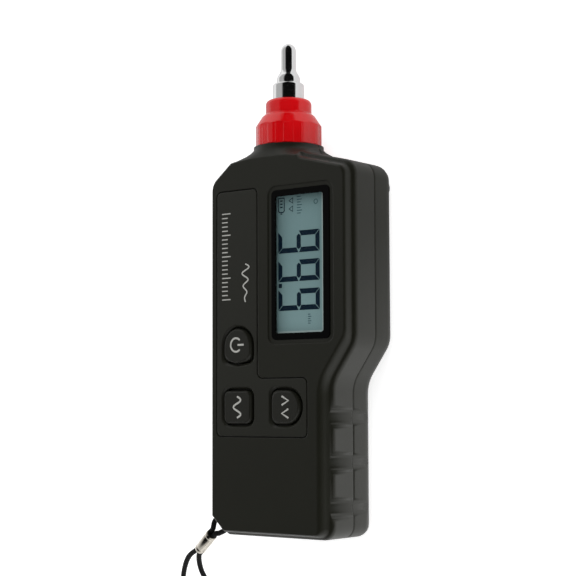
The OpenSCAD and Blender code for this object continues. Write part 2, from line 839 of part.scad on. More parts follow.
// The flare from the waist to the stem: shares of its height and of its step in radius
flare_h = 3.4;
flare_shares = [[0, 1], [0.3, 0.8], [0.6, 0.38], [0.8, 0.16], [1, 0]];

module probe_tip() color("#d5d8db") placed()
    translate([0, probe_y, axis_z]) rotate([-90, 0, 0]) rotate_extrude($fn = fine) polygon([
        [0, -stud_l], [stud_r - slip, -stud_l], [stud_r, slip - stud_l], [stud_r, 0],
        [probe_foot_r - slip, 0], [probe_foot_r, slip], [probe_foot_r, foot_h],
        for (a = [30, 60, 90]) [probe_foot_r - foot_round * (1 - cos(a)),
            foot_h + foot_round * sin(a)],
        [waist_r + slip, waist_y - slip], [waist_r, waist_y],
        for (s = flare_shares)
            [probe_r + s[1] * (waist_r - probe_r), waist_y + waist_h + s[0] * flare_h],
        for (a = [0 : 10 : 80]) [probe_r * cos(a), probe_l - probe_r + probe_r * sin(a)],
        [0, probe_l]]);

module probe_washer() color("#c8cacc") placed() difference() {
    along_axis(nose_y, probe_y, probe_foot_r - 4 * slip);
    along_axis(nose_y - overrun, probe_y + overrun, stud_r + 2 * slip);
}

// The battery with its studs, and the snap on them
stud_spread = 6.35;
terminal_r = 3.2;
terminal_h = 2.5;
battery_r = 1.8;
battery_top = battery_y + battery_l;
battery_mid_z = battery_z + battery_t / 2;
snap_t = 3;
snap_w = 24;
snap_h = 11;

module battery() color("#6f7276") placed() {
    translate([0, battery_top, battery_mid_z]) rotate([90, 0, 0])
        rounded_box(battery_w, battery_t, battery_r, battery_l);
    for (s = [-1, 1]) translate([s * stud_spread, battery_top - slip, battery_mid_z])
        rotate([-90, 0, 0]) cylinder(h = terminal_h + slip, r = terminal_r, $fn = fine);
}

module battery_snap() color("#1b1b1b") placed()
    translate([0, battery_top + terminal_h + snap_t, battery_mid_z]) rotate([90, 0, 0])
        rounded_box(snap_w, snap_h, battery_r, snap_t);

pad_w = 22;
pad_l = 18;
pad_in = 1.5;
module battery_pad() color("#55575a") placed()
    translate([-pad_w / 2, board_low + pad_in, battery_z + battery_t + slip])
        cube([pad_w, pad_l, board_z - battery_z - battery_t - 2 * slip]);

// The cover slides off the foot of the back, held by a tongue on each side
rib_r = 0.5;
rib_pitch = 2.2;
rib_w = 14;
rib_in = 8;
ribs = 5;
module battery_cover() color("#3d3e3b") placed() difference() {
    intersection() {
        back_form();
        cover_space(0, 0, 0);
    }
    for (i = [0 : ribs - 1])
        translate([-rib_w / 2, cover_l - rib_in - i * rib_pitch, 0]) rotate([0, 90, 0])
            cylinder(h = rib_w, r = rib_r, $fn = fine);
}

// A tube through the points of a route; side_way sets where its first corner points
function unit(v) = v / norm(v);
function route_way(p, i) = unit(p[min(i + 1, len(p) - 1)] - p[max(i - 1, 0)]);
function tube_ring(p, i, r, sides, side_way) =
    let(
        t = route_way(p, i),
        u = unit(side_way - (side_way * t) * t),
        v = cross(t, u)
    )
    [for (k = [0 : sides - 1]) let(a = 360 * k / sides) p[i] + r * (cos(a) * u + sin(a) * v)];

module tube(p, d, sides, side_way) {
    loft([for (i = [0 : len(p) - 1]) tube_ring(p, i, d / 2, sides, side_way)]);
}

// Two leads from the snap to the board, and the shielded cable of the sensor
lead_d = 1.3;
cable_d = 2;
red_route = [[4, 60.1, 10.7], [4, 61.4, 10.7], [2.5, 63.2, 12], [-2, 64.8, 14], [-8, 65, 16.4],
    [-12, 64.4, 18.6], [-13.4, 64, 20.2], [-13.4, 64, 21.6]];
black_route = [[-4, 60.1, 10.7], [-4, 61.2, 10.7], [-5, 62, 12], [-7.4, 62, 14.4],
    [-9, 61.6, 17.4], [-9.6, 61.4, 19.8], [-9.6, 61.4, 21.6]];
cable_route = [[0, 131.5, 14.5], [0, 126.8, 14.5], [-0.8, 124.4, 14.7], [-2.8, 122, 15.4],
    [-5.2, 119.6, 16.8], [-7.4, 118, 18.4], [-8.4, 117.4, 20], [-8.4, 117.4, 21.6]];

module battery_leads() color("#a02020") placed() {
    tube(red_route, lead_d, 8, [0, 1, 0.3]);
    tube(black_route, lead_d, 8, [0, 1, 0.3]);
}

module sensor_cable() color("#2a2a2a") placed() tube(cable_route, cable_d, 8, [1, 0.2, 0]);

// The strap: a small loop round the post, a metal sleeve, and the cord for the wrist
ferrule_from = [-30, -0.3, 23.4];
ferrule_way = unit([-8.6, -6.5, -2.8]);
ferrule_to = ferrule_from + ferrule_l * ferrule_way;
ferrule_edge = 0.3;
strand_side = unit(cross(ferrule_way, [0, 0, 1])) * (strap_d / 2 + gap / 2);
straight_l = 2;

// The loop leaves the sleeve, goes round the post and comes back to the sleeve
loop_round = [[-28.6, 4.4, 23.6], [-26.5, 6.1, 23.6], [-24.6, 7.1, 23.6], [-22.3, 6.2, 23.6],
    [-21.5, 4.2, 23.6], [-22.1, 2.4, 23.6], [-23.8, 1.3, 23.6], [-26.4, 0.2, 23.6]];
loop_route = concat(
    [ferrule_from + strand_side, ferrule_from + strand_side - straight_l * ferrule_way],
    loop_round,
    [ferrule_from - strand_side - straight_l * ferrule_way, ferrule_from - strand_side]);

// The wrist cord drops to the surface and lies there in an open loop
cord_round = [[-45.8, -9.8, 18.6], [-50, -14.6, 16.4], [-53.6, -21.2, 13.4],
    [-56.4, -28.4, 9.8], [-58.4, -34.4, 6.4], [-59.2, -40.6, 3.4], [-58.4, -46.8, 1.6],
    [-56, -52.6, 1.1], [-52, -57.8, 1.1], [-46.6, -62, 1.1], [-40.2, -65.2, 1.1],
    [-33, -67.4, 1.1], [-25.6, -68.6, 1.1], [-18, -68.8, 1.1], [-10.6, -68, 1.1],
    [-3.4, -66.2, 1.1], [3.4, -63.4, 1.1], [9, -59.2, 1.1], [12.6, -53.6, 1.1],
    [13.4, -47.2, 1.1], [11.4, -41.2, 1.1], [6.8, -36.4, 1.1], [0.4, -33.4, 1.1],
    [-6.6, -31.8, 1.1], [-13.8, -31.2, 1.1], [-20.8, -31.2, 1.3], [-27.4, -30.8, 2.4],
    [-33.4, -29.2, 4.6], [-38, -26, 7.8], [-40.8, -21.4, 11.6], [-41.8, -16.4, 15.2],
    [-41.2, -12.2, 17.8]];
cord_route = concat(
    [ferrule_to + strand_side, ferrule_to + strand_side + straight_l * ferrule_way],
    cord_round,
    [ferrule_to - strand_side + straight_l * ferrule_way, ferrule_to - strand_side]);

module strap_loop() color("#151515") placed() tube(loop_route, strap_d, 8, [0, 0, 1]);

module strap_ferrule() color("#cfd2d5") placed()
    translate(ferrule_from) rotate([0, acos(ferrule_way[2]), atan2(ferrule_way[1], ferrule_way[0])])
        rotate_extrude($fn = fine) polygon([[0, 0], [ferrule_d / 2 - ferrule_edge, 0],
            [ferrule_d / 2, ferrule_edge], [ferrule_d / 2, ferrule_l - ferrule_edge],
            [ferrule_d / 2 - ferrule_edge, ferrule_l], [0, ferrule_l]]);

module wrist_cord() color("#151515") placed() tube(cord_route, strap_d, 8, [0, 0, 1]);

front_shell();
rear_shell();
keypad_panel();
display_bezel();
window_lens();
lcd_glass();
lcd_frame();
backlight();
contact_strips();
main_board();
measure_button();
mode_button();
range_button();
key_switches();
processor_chip();
capacitors();
crystal_can();
board_screws();
case_screws();
collar();
collar_washer();
sensor_case();
sensor_rings();
piezo_rings();
seismic_mass();
sensor_bolt();
sensor_cable();
probe_tip();
probe_washer();
battery();
battery_snap();
battery_leads();
battery_pad();
battery_cover();
strap_loop();
strap_ferrule();
wrist_cord();
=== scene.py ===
import bpy, bmesh, json, math
from mathutils import Matrix, Vector


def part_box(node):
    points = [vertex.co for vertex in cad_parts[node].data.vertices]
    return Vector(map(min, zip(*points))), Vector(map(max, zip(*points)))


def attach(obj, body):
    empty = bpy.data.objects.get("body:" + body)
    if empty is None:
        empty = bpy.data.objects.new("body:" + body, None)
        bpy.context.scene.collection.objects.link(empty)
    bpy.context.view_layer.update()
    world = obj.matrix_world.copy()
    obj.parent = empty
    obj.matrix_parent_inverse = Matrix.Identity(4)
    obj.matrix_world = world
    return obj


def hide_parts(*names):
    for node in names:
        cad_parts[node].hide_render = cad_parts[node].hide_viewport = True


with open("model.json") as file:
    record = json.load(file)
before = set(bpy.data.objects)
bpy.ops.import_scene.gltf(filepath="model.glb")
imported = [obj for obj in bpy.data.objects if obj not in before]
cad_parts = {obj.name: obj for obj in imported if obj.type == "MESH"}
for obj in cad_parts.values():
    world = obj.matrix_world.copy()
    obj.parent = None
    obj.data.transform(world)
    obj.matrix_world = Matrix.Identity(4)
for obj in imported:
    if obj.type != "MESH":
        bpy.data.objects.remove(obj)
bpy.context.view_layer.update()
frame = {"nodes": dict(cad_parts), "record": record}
nodes = frame["nodes"]
print("frame loaded:", len(nodes), "nodes")

# Places are measured in mm: x from the probe axis, y from the bottom end and z from the back.
# The frame has the probe axis at axisX and axisZ, and the bottom end at bottomY.
axisX, bottomY, axisZ = -5, -91.5, 14.5


def at(x, y, z):
    return Vector((x + axisX, y + bottomY, z)) / 1000


# The camera stands where the photograph was taken
cameraView = {"place": (0.33383, -0.04449, 0.45083), "lens": 93.317, "sensor": 36,
              "right": (0.7891, -0.0035, -0.6142), "up": (0.0514, 0.9968, 0.0604),
              "ahead": (-0.6121, 0.0793, -0.7868)}


def makeCamera(spec):
    camera = bpy.data.objects.new("viewpoint", bpy.data.cameras.new("viewpoint"))
    bpy.context.scene.collection.objects.link(camera)
    camera.data.lens = spec["lens"]
    camera.data.sensor_width = spec["sensor"]
    camera.data.clip_start, camera.data.clip_end = 0.01, 50
    columns = (Vector(spec["right"]), Vector(spec["up"]), -Vector(spec["ahead"]))
    turn = Matrix(columns).transposed().to_quaternion().to_matrix().to_4x4()
    camera.matrix_world = Matrix.Translation(spec["place"]) @ turn
    bpy.context.scene.camera = camera


makeCamera(cameraView)
bpy.context.scene.view_settings.view_transform = "Standard"
print("camera set")


# A wire carries a number or a colour between shader nodes and can be reckoned with
class Wire:
    def __init__(self, sheet, socket):
        self.sheet = sheet
        self.socket = socket

    def math(self, operation, *others, clamp=False):
        return self.sheet.sum(operation, self, *others, clamp=clamp)

    def __add__(self, other):
        return self.math("ADD", other)

    def __sub__(self, other):
        return self.math("SUBTRACT", other)

    def __rsub__(self, other):
        return self.sheet.sum("SUBTRACT", other, self)

    def __mul__(self, other):
        return self.math("MULTIPLY", other)

    def __truediv__(self, other):
        return self.math("DIVIDE", other)

    __radd__ = __add__
    __rmul__ = __mul__


class Sheet:
    def __init__(self, tree):
        self.tree = tree

    def node(self, kind, settings=None, sockets=None, out=0):
        made = self.tree.nodes.new(kind)
        for name, value in (settings or {}).items():
            setattr(made, name, value)
        for name, value in (sockets or {}).items():
            if isinstance(value, Wire):
                self.tree.links.new(value.socket, made.inputs[name])
            else:
                made.inputs[name].default_value = value
        return Wire(self, made.outputs[out]) if len(made.outputs) else None

    def sum(self, operation, *terms, clamp=False):
        return self.node("ShaderNodeMath", {"operation": operation, "use_clamp": clamp},
                         dict(enumerate(terms)))

    # 0 on the first value's side and 1 on the second's
    def rise(self, value, low, high):
        return self.node("ShaderNodeMapRange", {"clamp": True},
                         {"Value": value, "From Min": low, "From Max": high})

    # 1 between the two values
    def band(self, value, low, high, soft=0.00005):
        past = self.rise(value, high - soft, high + soft)
        return self.rise(value, low - soft, low + soft) * (1 - past)

    def mix(self, factor, first, second):
        ends = [(*c, 1) if isinstance(c, tuple) else c for c in (first, second)]
        return self.node("ShaderNodeMix", {"data_type": "RGBA"},
                         {0: factor, 6: ends[0], 7: ends[1]}, out=2)

    def noise(self, point, scale, detail=2, rough=0.5):
        return self.node("ShaderNodeTexNoise", {},
                         {"Vector": point, "Scale": scale, "Detail": detail, "Roughness": rough})

    def bump(self, height, depth, normal=None):
        sockets = {"Height": height, "Distance": depth, "Strength": 1}
        if normal:
            sockets["Normal"] = normal
        return self.node("ShaderNodeBump", {}, sockets)


finishes = {}


# Builds one material; the pattern gives what changes over the surface
def finish(name, colour, roughness, pattern=None, **settings):
    made = bpy.data.materials.new(name)
    made.use_nodes = True
    shader = made.node_tree.nodes["Principled BSDF"]
    shader.inputs["Base Color"].default_value = (*colour, 1)
    shader.inputs["Roughness"].default_value = roughness
    for socket, value in settings.items():
        shader.inputs[socket.replace("_", " ")].default_value = value
    if pattern:
        sheet = Sheet(made.node_tree)
        point = sheet.node("ShaderNodeTexCoord", out="Object")
        for socket, wire in pattern(sheet, point).items():
            made.node_tree.links.new(wire.socket, shader.inputs[socket])
    made.diffuse_color = (*colour, 1)
    finishes[name] = made
    return made


def axes(sheet, point):
    made = sheet.node("ShaderNodeSeparateXYZ", {}, {"Vector": point})
    return [Wire(sheet, made.socket.node.outputs[i]) for i in range(3)]


# Distance from the probe axis, the angle round it and the place along it
def roundAxis(sheet, point):
    x, y, z = axes(sheet, point)
    x, z = x - axisX / 1000, z - axisZ / 1000
    return (x * x + z * z).math("SQRT"), x.math("ARCTAN2", z), y


# Falls from a half to 0 and rises again between each two whole numbers
def zigzag(value):
    return (value.math("FRACT") - 0.5).math("ABSOLUTE")


# The flanks of a thread that winds round the probe axis
def threadFlanks(angle, y, pitch):
    return zigzag(y / pitch + angle / (2 * math.pi))


# Moulded black plastic with a fine spark-eroded grain, and the collar's thread on its spigot
mouldedBlack = {"colour": (0.0112, 0.0116, 0.0066), "darker": 0.8, "lighter": 1.18,
                "grain": 3400, "depth": 0.000016, "edge": 0.0005,
                "threadFrom": (0.05215, 0.05245), "threadPitch": 0.0015, "threadTall": 40}


def mouldedGrain(spec, thread=False):
    def pattern(sheet, point):
        cloud = sheet.noise(point, 46, 3, 0.6)
        fine = sheet.noise(point, spec["grain"], 2, 0.6)
        darker = tuple(c * spec["darker"] for c in spec["colour"])
        lighter = tuple(c * spec["lighter"] for c in spec["colour"])
        rounded = sheet.node("ShaderNodeBevel", {"samples": 6}, {"Radius": spec["edge"]})
        height = fine
        if thread:
            angle, y = roundAxis(sheet, point)[1:]
            flanks = threadFlanks(angle, y, spec["threadPitch"]) * spec["threadTall"]
            height = fine + flanks * sheet.rise(y, *spec["threadFrom"])
        return {"Base Color": sheet.mix(cloud * 0.7 + fine * 0.3, darker, lighter),
                "Roughness": 0.36 + 0.12 * fine + 0.08 * cloud,
                "Normal": sheet.bump(height, spec["depth"], rounded)}
    return pattern


finish("housingBlack", mouldedBlack["colour"], 0.44, mouldedGrain(mouldedBlack, True),
       Specular_IOR_Level=0.4)
panelBlack = dict(mouldedBlack, colour=(0.0122, 0.0127, 0.0076), grain=5200, depth=0.000007)
finish("panelBlack", panelBlack["colour"], 0.4, mouldedGrain(panelBlack))
keyBlack = dict(mouldedBlack, colour=(0.0105, 0.0108, 0.0068), grain=6000, depth=0.000006,
                edge=0.0003)
finish("keyBlack", keyBlack["colour"], 0.4, mouldedGrain(keyBlack))
carrierBlack = dict(mouldedBlack, colour=(0.03, 0.03, 0.031), grain=2600)
finish("carrierBlack", carrierBlack["colour"], 0.5, mouldedGrain(carrierBlack))


# A plain finish whose colour, gloss and surface vary a little
def grained(name, colour, roughness, scale=2500, depth=0.000008, spread=0.15, shine=0.1, **more):
    def pattern(sheet, point):
        cloud = sheet.noise(point, scale / 12, 2)
        fine = sheet.noise(point, scale, 2, 0.6)
        return {"Roughness": fine * shine + cloud * shine + (roughness - shine),
                "Base Color": sheet.mix(cloud * 0.6 + fine * 0.4,
                                        tuple(c * (1 - spread) for c in colour),
                                        tuple(min(1, c * (1 + spread)) for c in colour)),
                "Normal": sheet.bump(fine, depth)}
    return finish(name, colour, roughness, pattern, **more)


# Metal turned round the probe axis: fine rings along its length, and a thread where one is
# given by its start, its end, its pitch and its height
def turnedMetal(name, colour, roughness, rings, depth, thread=None):
    def pattern(sheet, point):
        distance, angle, y = roundAxis(sheet, point)
        profile = sheet.node("ShaderNodeCombineXYZ", {}, {"X": distance, "Y": y})
        ring = sheet.noise(profile, 1 / rings, 3, 0.7)
        smear = sheet.noise(point, 90, 3)
        height = ring
        if thread:
            low, high, pitch, tall = thread
            height = ring + threadFlanks(angle, y, pitch) * tall * sheet.band(y, low, high)
        return {"Roughness": roughness + 0.07 * ring + 0.06 * smear,
                "Base Color": sheet.mix(smear, tuple(c * 0.92 for c in colour), colour),
                "Normal": sheet.bump(height, depth)}
    return finish(name, colour, roughness, pattern, Metallic=1.0)


turnedMetal("probeSteel", (0.86, 0.86, 0.86), 0.06, 0.00012, 0.0000015,
            (0.0570, 0.0698, 0.0008, 300))
turnedMetal("sensorSteel", (0.56, 0.56, 0.57), 0.28, 0.0002, 0.000004)
turnedMetal("massMetal", (0.36, 0.36, 0.38), 0.34, 0.0002, 0.000004)
turnedMetal("contactBrass", (0.72, 0.5, 0.2), 0.25, 0.0002, 0.000003)
turnedMetal("boltSteel", (0.4, 0.4, 0.41), 0.3, 0.00015, 0.000003, (0.0, 0.2, 0.0005, 60))


# Screws of plain steel
def screwPattern(sheet, point):
    fine = sheet.noise(point, 5200, 3, 0.6)
    smear = sheet.noise(point, 240, 2)
    return {"Roughness": 0.26 + 0.12 * fine + 0.1 * smear,
            "Base Color": sheet.mix(smear, (0.33, 0.33, 0.34), (0.46, 0.46, 0.47)),
            "Normal": sheet.bump(fine, 0.000004)}


finish("screwSteel", (0.42, 0.42, 0.43), 0.3, screwPattern, Metallic=1.0)

# Glossy red plastic of the collar, a little uneven, with fine ribs round its grip ring
collarRed = {"deep": (0.62, 0.0006, 0.0024), "light": (0.78, 0.0012, 0.0048), "ribs": 24,
             "ribFlank": (0.38, 0.47), "ribsFrom": 0.0524, "ribsTo": 0.0592, "ribTall": 14,
             "depth": 0.0000045, "edge": 0.0005}


def collarPattern(sheet, point):
    cloud = sheet.noise(point, 130, 3, 0.55)
    fine = sheet.noise(point, 2600, 2)
    rounded = sheet.node("ShaderNodeBevel", {"samples": 4}, {"Radius": collarRed["edge"]})
    angle, y = roundAxis(sheet, point)[1:]
    rib = sheet.rise(zigzag(angle * (collarRed["ribs"] / (2 * math.pi))), *collarRed["ribFlank"])
    rib = rib * sheet.band(y, collarRed["ribsFrom"], collarRed["ribsTo"])
    return {"Base Color": sheet.mix(cloud, collarRed["deep"], collarRed["light"]),
            "Roughness": 0.11 + 0.05 * cloud + 0.03 * fine,
            "Normal": sheet.bump(cloud * 6 + fine + rib * collarRed["ribTall"],
                                 collarRed["depth"], rounded)}


finish("collarRed", collarRed["light"], 0.16, collarPattern, Specular_IOR_Level=0.6)

grained("bezelGloss", (0.0006, 0.0006, 0.0006), 0.26, 4200, 0.000002, 0.3, 0.06,
        Specular_IOR_Level=0.08)
grained("lcdMark", (0.002, 0.014, 0.03), 0.45, 5200, 0.000001, 0.12, 0.05,
        Specular_IOR_Level=0.08)
grained("lcdFaint", (0.055, 0.12, 0.14), 0.45, 5200, 0.000001, 0.1, 0.05,
        Specular_IOR_Level=0.08)
grained("printWhite", (0.5, 0.5, 0.47), 0.55, 7000, 0.000004, 0.12, 0.1)
grained("gasketRubber", (0.02, 0.02, 0.02), 0.6, 3200, 0.00001)
grained("foamGrey", (0.08, 0.08, 0.085), 0.85, 1500, 0.0001, 0.35)
grained("snapBlack", (0.02, 0.02, 0.021), 0.45, 3000, 0.00001)
grained("guideClear", (0.74, 0.78, 0.73), 0.3, 1800, 0.00001, 0.06, 0.08)
grained("piezoCream", (0.62, 0.56, 0.44), 0.6, 4200, 0.00001, 0.12)
grained("canSteel", (0.6, 0.6, 0.62), 0.26, 3600, 0.000006, 0.1, 0.1, Metallic=1.0)

# The display's glass: a pale blue-green, lighter towards its lower end, with a light rim along
# its right and its lower edge
lcdPale = {"upper": (0.2, 0.325, 0.335), "lower": (0.27, 0.42, 0.43), "rim": (0.5, 0.62, 0.6),
           "fade": (0.012, -0.02), "rimRight": (0.01915, 0.01925), "rimLow": (-0.0173, -0.0175)}


def lcdPattern(sheet, point):
    x, y = axes(sheet, point)[:2]
    cloud = sheet.noise(point, 60, 2)
    fine = sheet.noise(point, 5200, 1)
    lower = sheet.rise(y, *lcdPale["fade"])
    plain = sheet.mix(cloud * 0.25 + lower * 0.75, lcdPale["upper"], lcdPale["lower"])
    rim = sheet.rise(x, *lcdPale["rimRight"]).math("MAXIMUM", sheet.rise(y, *lcdPale["rimLow"]))
    return {"Base Color": sheet.mix(rim * 0.8, plain, lcdPale["rim"]),
            "Roughness": 0.42 + 0.06 * fine,
            "Normal": sheet.bump(fine, 0.000001)}


finish("lcdGlass", (0.23, 0.37, 0.38), 0.45, lcdPattern, Specular_IOR_Level=0.1)


# The clear window lets the display show and only adds a faint gloss
def windowPattern(sheet, point):
    fine = sheet.noise(point, 70, 2)
    return {"Alpha": 0.03 + fine * 0.03, "Roughness": 0.04 + fine * 0.03}


windowClear = finish("windowClear", (0.02, 0.02, 0.02), 0.05, windowPattern)
windowClear.diffuse_color = (0.9, 0.95, 0.95, 0.3)

# Two contact strips of rubber in thin layers, counted to the metre
stripLayers = 5500


def stripPattern(sheet, point):
    layer = (axes(sheet, point)[1] * stripLayers).math("FRACT")
    fine = sheet.noise(point, 4200, 2)
    dark = sheet.rise(layer, 0.45, 0.55)
    return {"Base Color": sheet.mix(dark, (0.42, 0.14, 0.22), (0.02, 0.02, 0.02)),
            "Roughness": 0.6 + 0.2 * fine, "Normal": sheet.bump(fine + dark, 0.000006)}


finish("stripRubber", (0.3, 0.1, 0.16), 0.7, stripPattern)


# The board: green solder mask over copper runs, and plated lands
def boardPattern(sheet, point):
    cell = sheet.node("ShaderNodeTexBrick", {"offset": 0.37, "squash": 0.6, "squash_frequency": 3},
                      {"Vector": point, "Scale": 330, "Mortar Size": 0.035, "Mortar Smooth": 0.2,
                       "Color1": (0, 0, 0, 1), "Color2": (0, 0, 0, 1), "Mortar": (1, 1, 1, 1)})
    lands = sheet.node("ShaderNodeTexVoronoi", {}, {"Vector": point, "Scale": 420,
                                                    "Randomness": 0.55})
    runs = sheet.rise(cell, 0.3, 0.7)
    dots = sheet.rise(lands, 0.16, 0.12)
    weave = sheet.noise(point, 1900, 2)
    green = sheet.mix(weave, (0.006, 0.07, 0.022), (0.01, 0.1, 0.032))
    copper = sheet.mix(runs, green, (0.022, 0.2, 0.06))
    return {"Base Color": sheet.mix(dots, copper, (0.6, 0.6, 0.58)),
            "Metallic": dots * 0.9, "Roughness": 0.32 + 0.1 * weave - 0.08 * dots,
            "Normal": sheet.bump(runs + dots * 2 + weave * 0.4, 0.00003)}


finish("boardGreen", (0.01, 0.1, 0.03), 0.34, boardPattern)


# Black epoxy of the chip
def chipPattern(sheet, point):
    fine = sheet.noise(point, 4200, 3, 0.7)
    return {"Base Color": sheet.mix(fine, (0.012, 0.012, 0.013), (0.024, 0.024, 0.025)),
            "Roughness": 0.52 + 0.2 * fine, "Normal": sheet.bump(fine, 0.00001)}


finish("chipBlack", (0.018, 0.018, 0.019), 0.6, chipPattern)


# Small cans with a bare lid and a dark sleeve
def canPattern(sheet, point):
    fine = sheet.noise(point, 1400, 2)
    upright = axes(sheet, sheet.node("ShaderNodeNewGeometry", out="Normal"))[2]
    lid = sheet.rise(upright.math("ABSOLUTE"), 0.7, 0.9)
    return {"Base Color": sheet.mix(lid, (0.02, 0.022, 0.05), (0.62, 0.63, 0.66)),
            "Metallic": lid, "Roughness": 0.3 + 0.15 * fine,
            "Normal": sheet.bump(fine, 0.00001)}


finish("canSleeve", (0.3, 0.3, 0.33), 0.34, canPattern)

# The battery's painted jacket: a dark body and a bare copper-coloured band at its upper end
jacket = {"bandFrom": (-0.0505, -0.0503), "body": ((0.016, 0.02, 0.03), (0.024, 0.03, 0.042)),
          "band": ((0.48, 0.24, 0.09), (0.56, 0.3, 0.12))}


def batteryPattern(sheet, point):
    fine = sheet.noise(point, 2600, 2)
    worn = sheet.noise(point, 160, 4, 0.7)
    band = sheet.rise(axes(sheet, point)[1], *jacket["bandFrom"])
    colour = sheet.mix(band, sheet.mix(worn, *jacket["body"]), sheet.mix(worn, *jacket["band"]))
    return {"Base Color": colour, "Roughness": 0.28 + 0.14 * worn,
            "Metallic": 0.35 + 0.5 * band, "Normal": sheet.bump(fine, 0.000006)}


finish("batteryJacket", (0.02, 0.026, 0.036), 0.34, batteryPattern)

# Insulation of the battery's leads and the sensor's cable: black, and red within these bounds
redLead = {"across": (-0.02, -0.005), "along": (-0.06, -0.01)}


def leadPattern(sheet, point):
    x, y = axes(sheet, point)[:2]
    fine = sheet.noise(point, 3600, 2)
    red = sheet.band(x, *redLead["across"]) * sheet.band(y, *redLead["along"])
    return {"Base Color": sheet.mix(red, (0.018, 0.018, 0.018), (0.4, 0.01, 0.01)),
            "Roughness": 0.38 + 0.12 * fine, "Normal": sheet.bump(fine, 0.000008)}


finish("leadSleeve", (0.1, 0.02, 0.02), 0.42, leadPattern)

# Switch bodies with a metal cover, and a dark stem above this height
stemFrom = (0.0255, 0.0256)


def switchPattern(sheet, point):
    fine = sheet.noise(point, 2600, 2)
    stem = sheet.rise(axes(sheet, point)[2], *stemFrom)
    return {"Base Color": sheet.mix(stem, (0.56, 0.56, 0.57), (0.02, 0.02, 0.02)),
            "Metallic": 1 - stem, "Roughness": 0.3 + 0.2 * fine,
            "Normal": sheet.bump(fine, 0.00001)}


finish("switchMetal", (0.4, 0.4, 0.4), 0.36, switchPattern)

# Braided cord: strands cross along the tube's own map
braid = {"along": 150, "round": 3, "dark": (0.002, 0.002, 0.002), "light": (0.009, 0.009, 0.0085)}


def cordPattern(sheet, point):
    along, across = axes(sheet, sheet.node("ShaderNodeTexCoord", out="UV"))[:2]
    fine = sheet.noise(point, 5200, 3, 0.7)
    left = zigzag(along * braid["along"] + across * braid["round"])
    right = zigzag(along * braid["along"] - across * braid["round"])
    strand = left.math("MAXIMUM", right) * 2
    return {"Base Color": sheet.mix(strand * 0.6 + fine * 0.4, braid["dark"], braid["light"]),
            "Roughness": 0.62 + 0.25 * fine, "Normal": sheet.bump(strand + fine * 0.5, 0.00012)}


finish("cordBraid", (0.008, 0.008, 0.008), 0.8, cordPattern, Specular_IOR_Level=0.25)


# The bright sleeve of the strap
def sleevePattern(sheet, point):
    fine = sheet.noise(point, 1300, 3, 0.6)
    smear = sheet.noise(point, 210, 3)
    return {"Base Color": sheet.mix(smear, (0.4, 0.37, 0.32), (0.52, 0.49, 0.43)),
            "Roughness": 0.12 + 0.06 * fine + 0.05 * smear,
            "Normal": sheet.bump(fine, 0.000004)}


finish("sleeveSteel", (0.46, 0.43, 0.38), 0.16, sleevePattern, Metallic=1.0)
print("finishes made:", len(finishes))

# The record's slot and the finish of every CAD node but the two cords
nodeFinishes = {
    "front_shell": ("housing", "housingBlack"), "rear_shell": ("housing", "housingBlack"),
    "battery_cover": ("housing", "housingBlack"), "keypad_panel": ("panel", "panelBlack"),
    "display_bezel": ("bezel", "bezelGloss"), "window_lens": ("window", "windowClear"),
    "lcd_glass": ("lcd", "lcdGlass"), "lcd_frame": ("carrier", "carrierBlack"),
    "backlight": ("backlight", "guideClear"), "contact_strips": ("rubber", "stripRubber"),
    "main_board": ("board", "boardGreen"), "measure_button": ("key_black", "keyBlack"),
    "mode_button": ("key_black", "keyBlack"), "range_button": ("key_black", "keyBlack"),
    "key_switches": ("switch", "switchMetal"), "processor_chip": ("chip", "chipBlack"),
    "capacitors": ("can", "canSleeve"), "crystal_can": ("steel_small", "canSteel"),
    "board_screws": ("screw", "screwSteel"), "case_screws": ("screw", "screwSteel"),
    "collar": ("collar", "collarRed"), "collar_washer": ("gasket", "gasketRubber"),
    "sensor_case": ("sensor_metal", "sensorSteel"),
    "sensor_rings": ("contact_metal", "contactBrass"), "piezo_rings": ("piezo", "piezoCream"),
    "seismic_mass": ("mass_metal", "massMetal"), "sensor_bolt": ("screw", "boltSteel"),
    "sensor_cable": ("cable", "leadSleeve"), "probe_tip": ("probe", "probeSteel"),
    "probe_washer": ("gasket", "gasketRubber"), "battery": ("battery_can", "batteryJacket"),
    "battery_snap": ("snap", "snapBlack"), "battery_leads": ("cable", "leadSleeve"),
    "battery_pad": ("foam", "foamGrey"), "strap_ferrule": ("ferrule", "sleeveSteel")}
for node, (slot, made) in nodeFinishes.items():
    nodes[node].data.materials.clear()
    nodes[node].data.materials.append(finishes[made])
print("CAD nodes finished:", len(nodeFinishes))

bodyOf = {node: body for body, held in frame["record"]["behaviour"]["bodies"].items()
          for node in held}


# Puts a finished mesh in the scene, on a body, with a finish
def place(name, mesh, made, body="housing", replaced=()):
    piece = bpy.data.objects.new(name, mesh)
    bpy.context.scene.collection.objects.link(piece)
    mesh.materials.clear()
    mesh.materials.append(finishes[made])
    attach(piece, body)
    if replaced:
        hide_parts(*replaced)
    return piece


def meshFrom(bm, name, sharpFrom=32):
    mesh = bpy.data.meshes.new(name)
    bm.to_mesh(mesh)
    bm.free()
    mesh.shade_smooth()
    mesh.set_sharp_from_angle(angle=math.radians(sharpFrom))
    return mesh


# The nodes that are shaded smooth, each with the angle in degrees from which an edge is sharp;
# facets that lie within flatTo degrees of each other are joined first
smoothing = {"merge": 0.000002, "speck": 0.000001, "flatTo": 0.5, "faceWeight": 100, "pieces": {
    "housingFront": ("front_shell", 33), "housingBack": ("rear_shell", 33),
    "batteryDoor": ("battery_cover", 33), "keypadInlay": ("keypad_panel", 30),
    "displayFrame": ("display_bezel", 40), "measureKey": ("measure_button", 33),
    "modeKey": ("mode_button", 33), "rangeKey": ("range_button", 33),
    "redCollar": ("collar", 20), "steelTip": ("probe_tip", 24),
    "caseScrews": ("case_screws", 30)}}


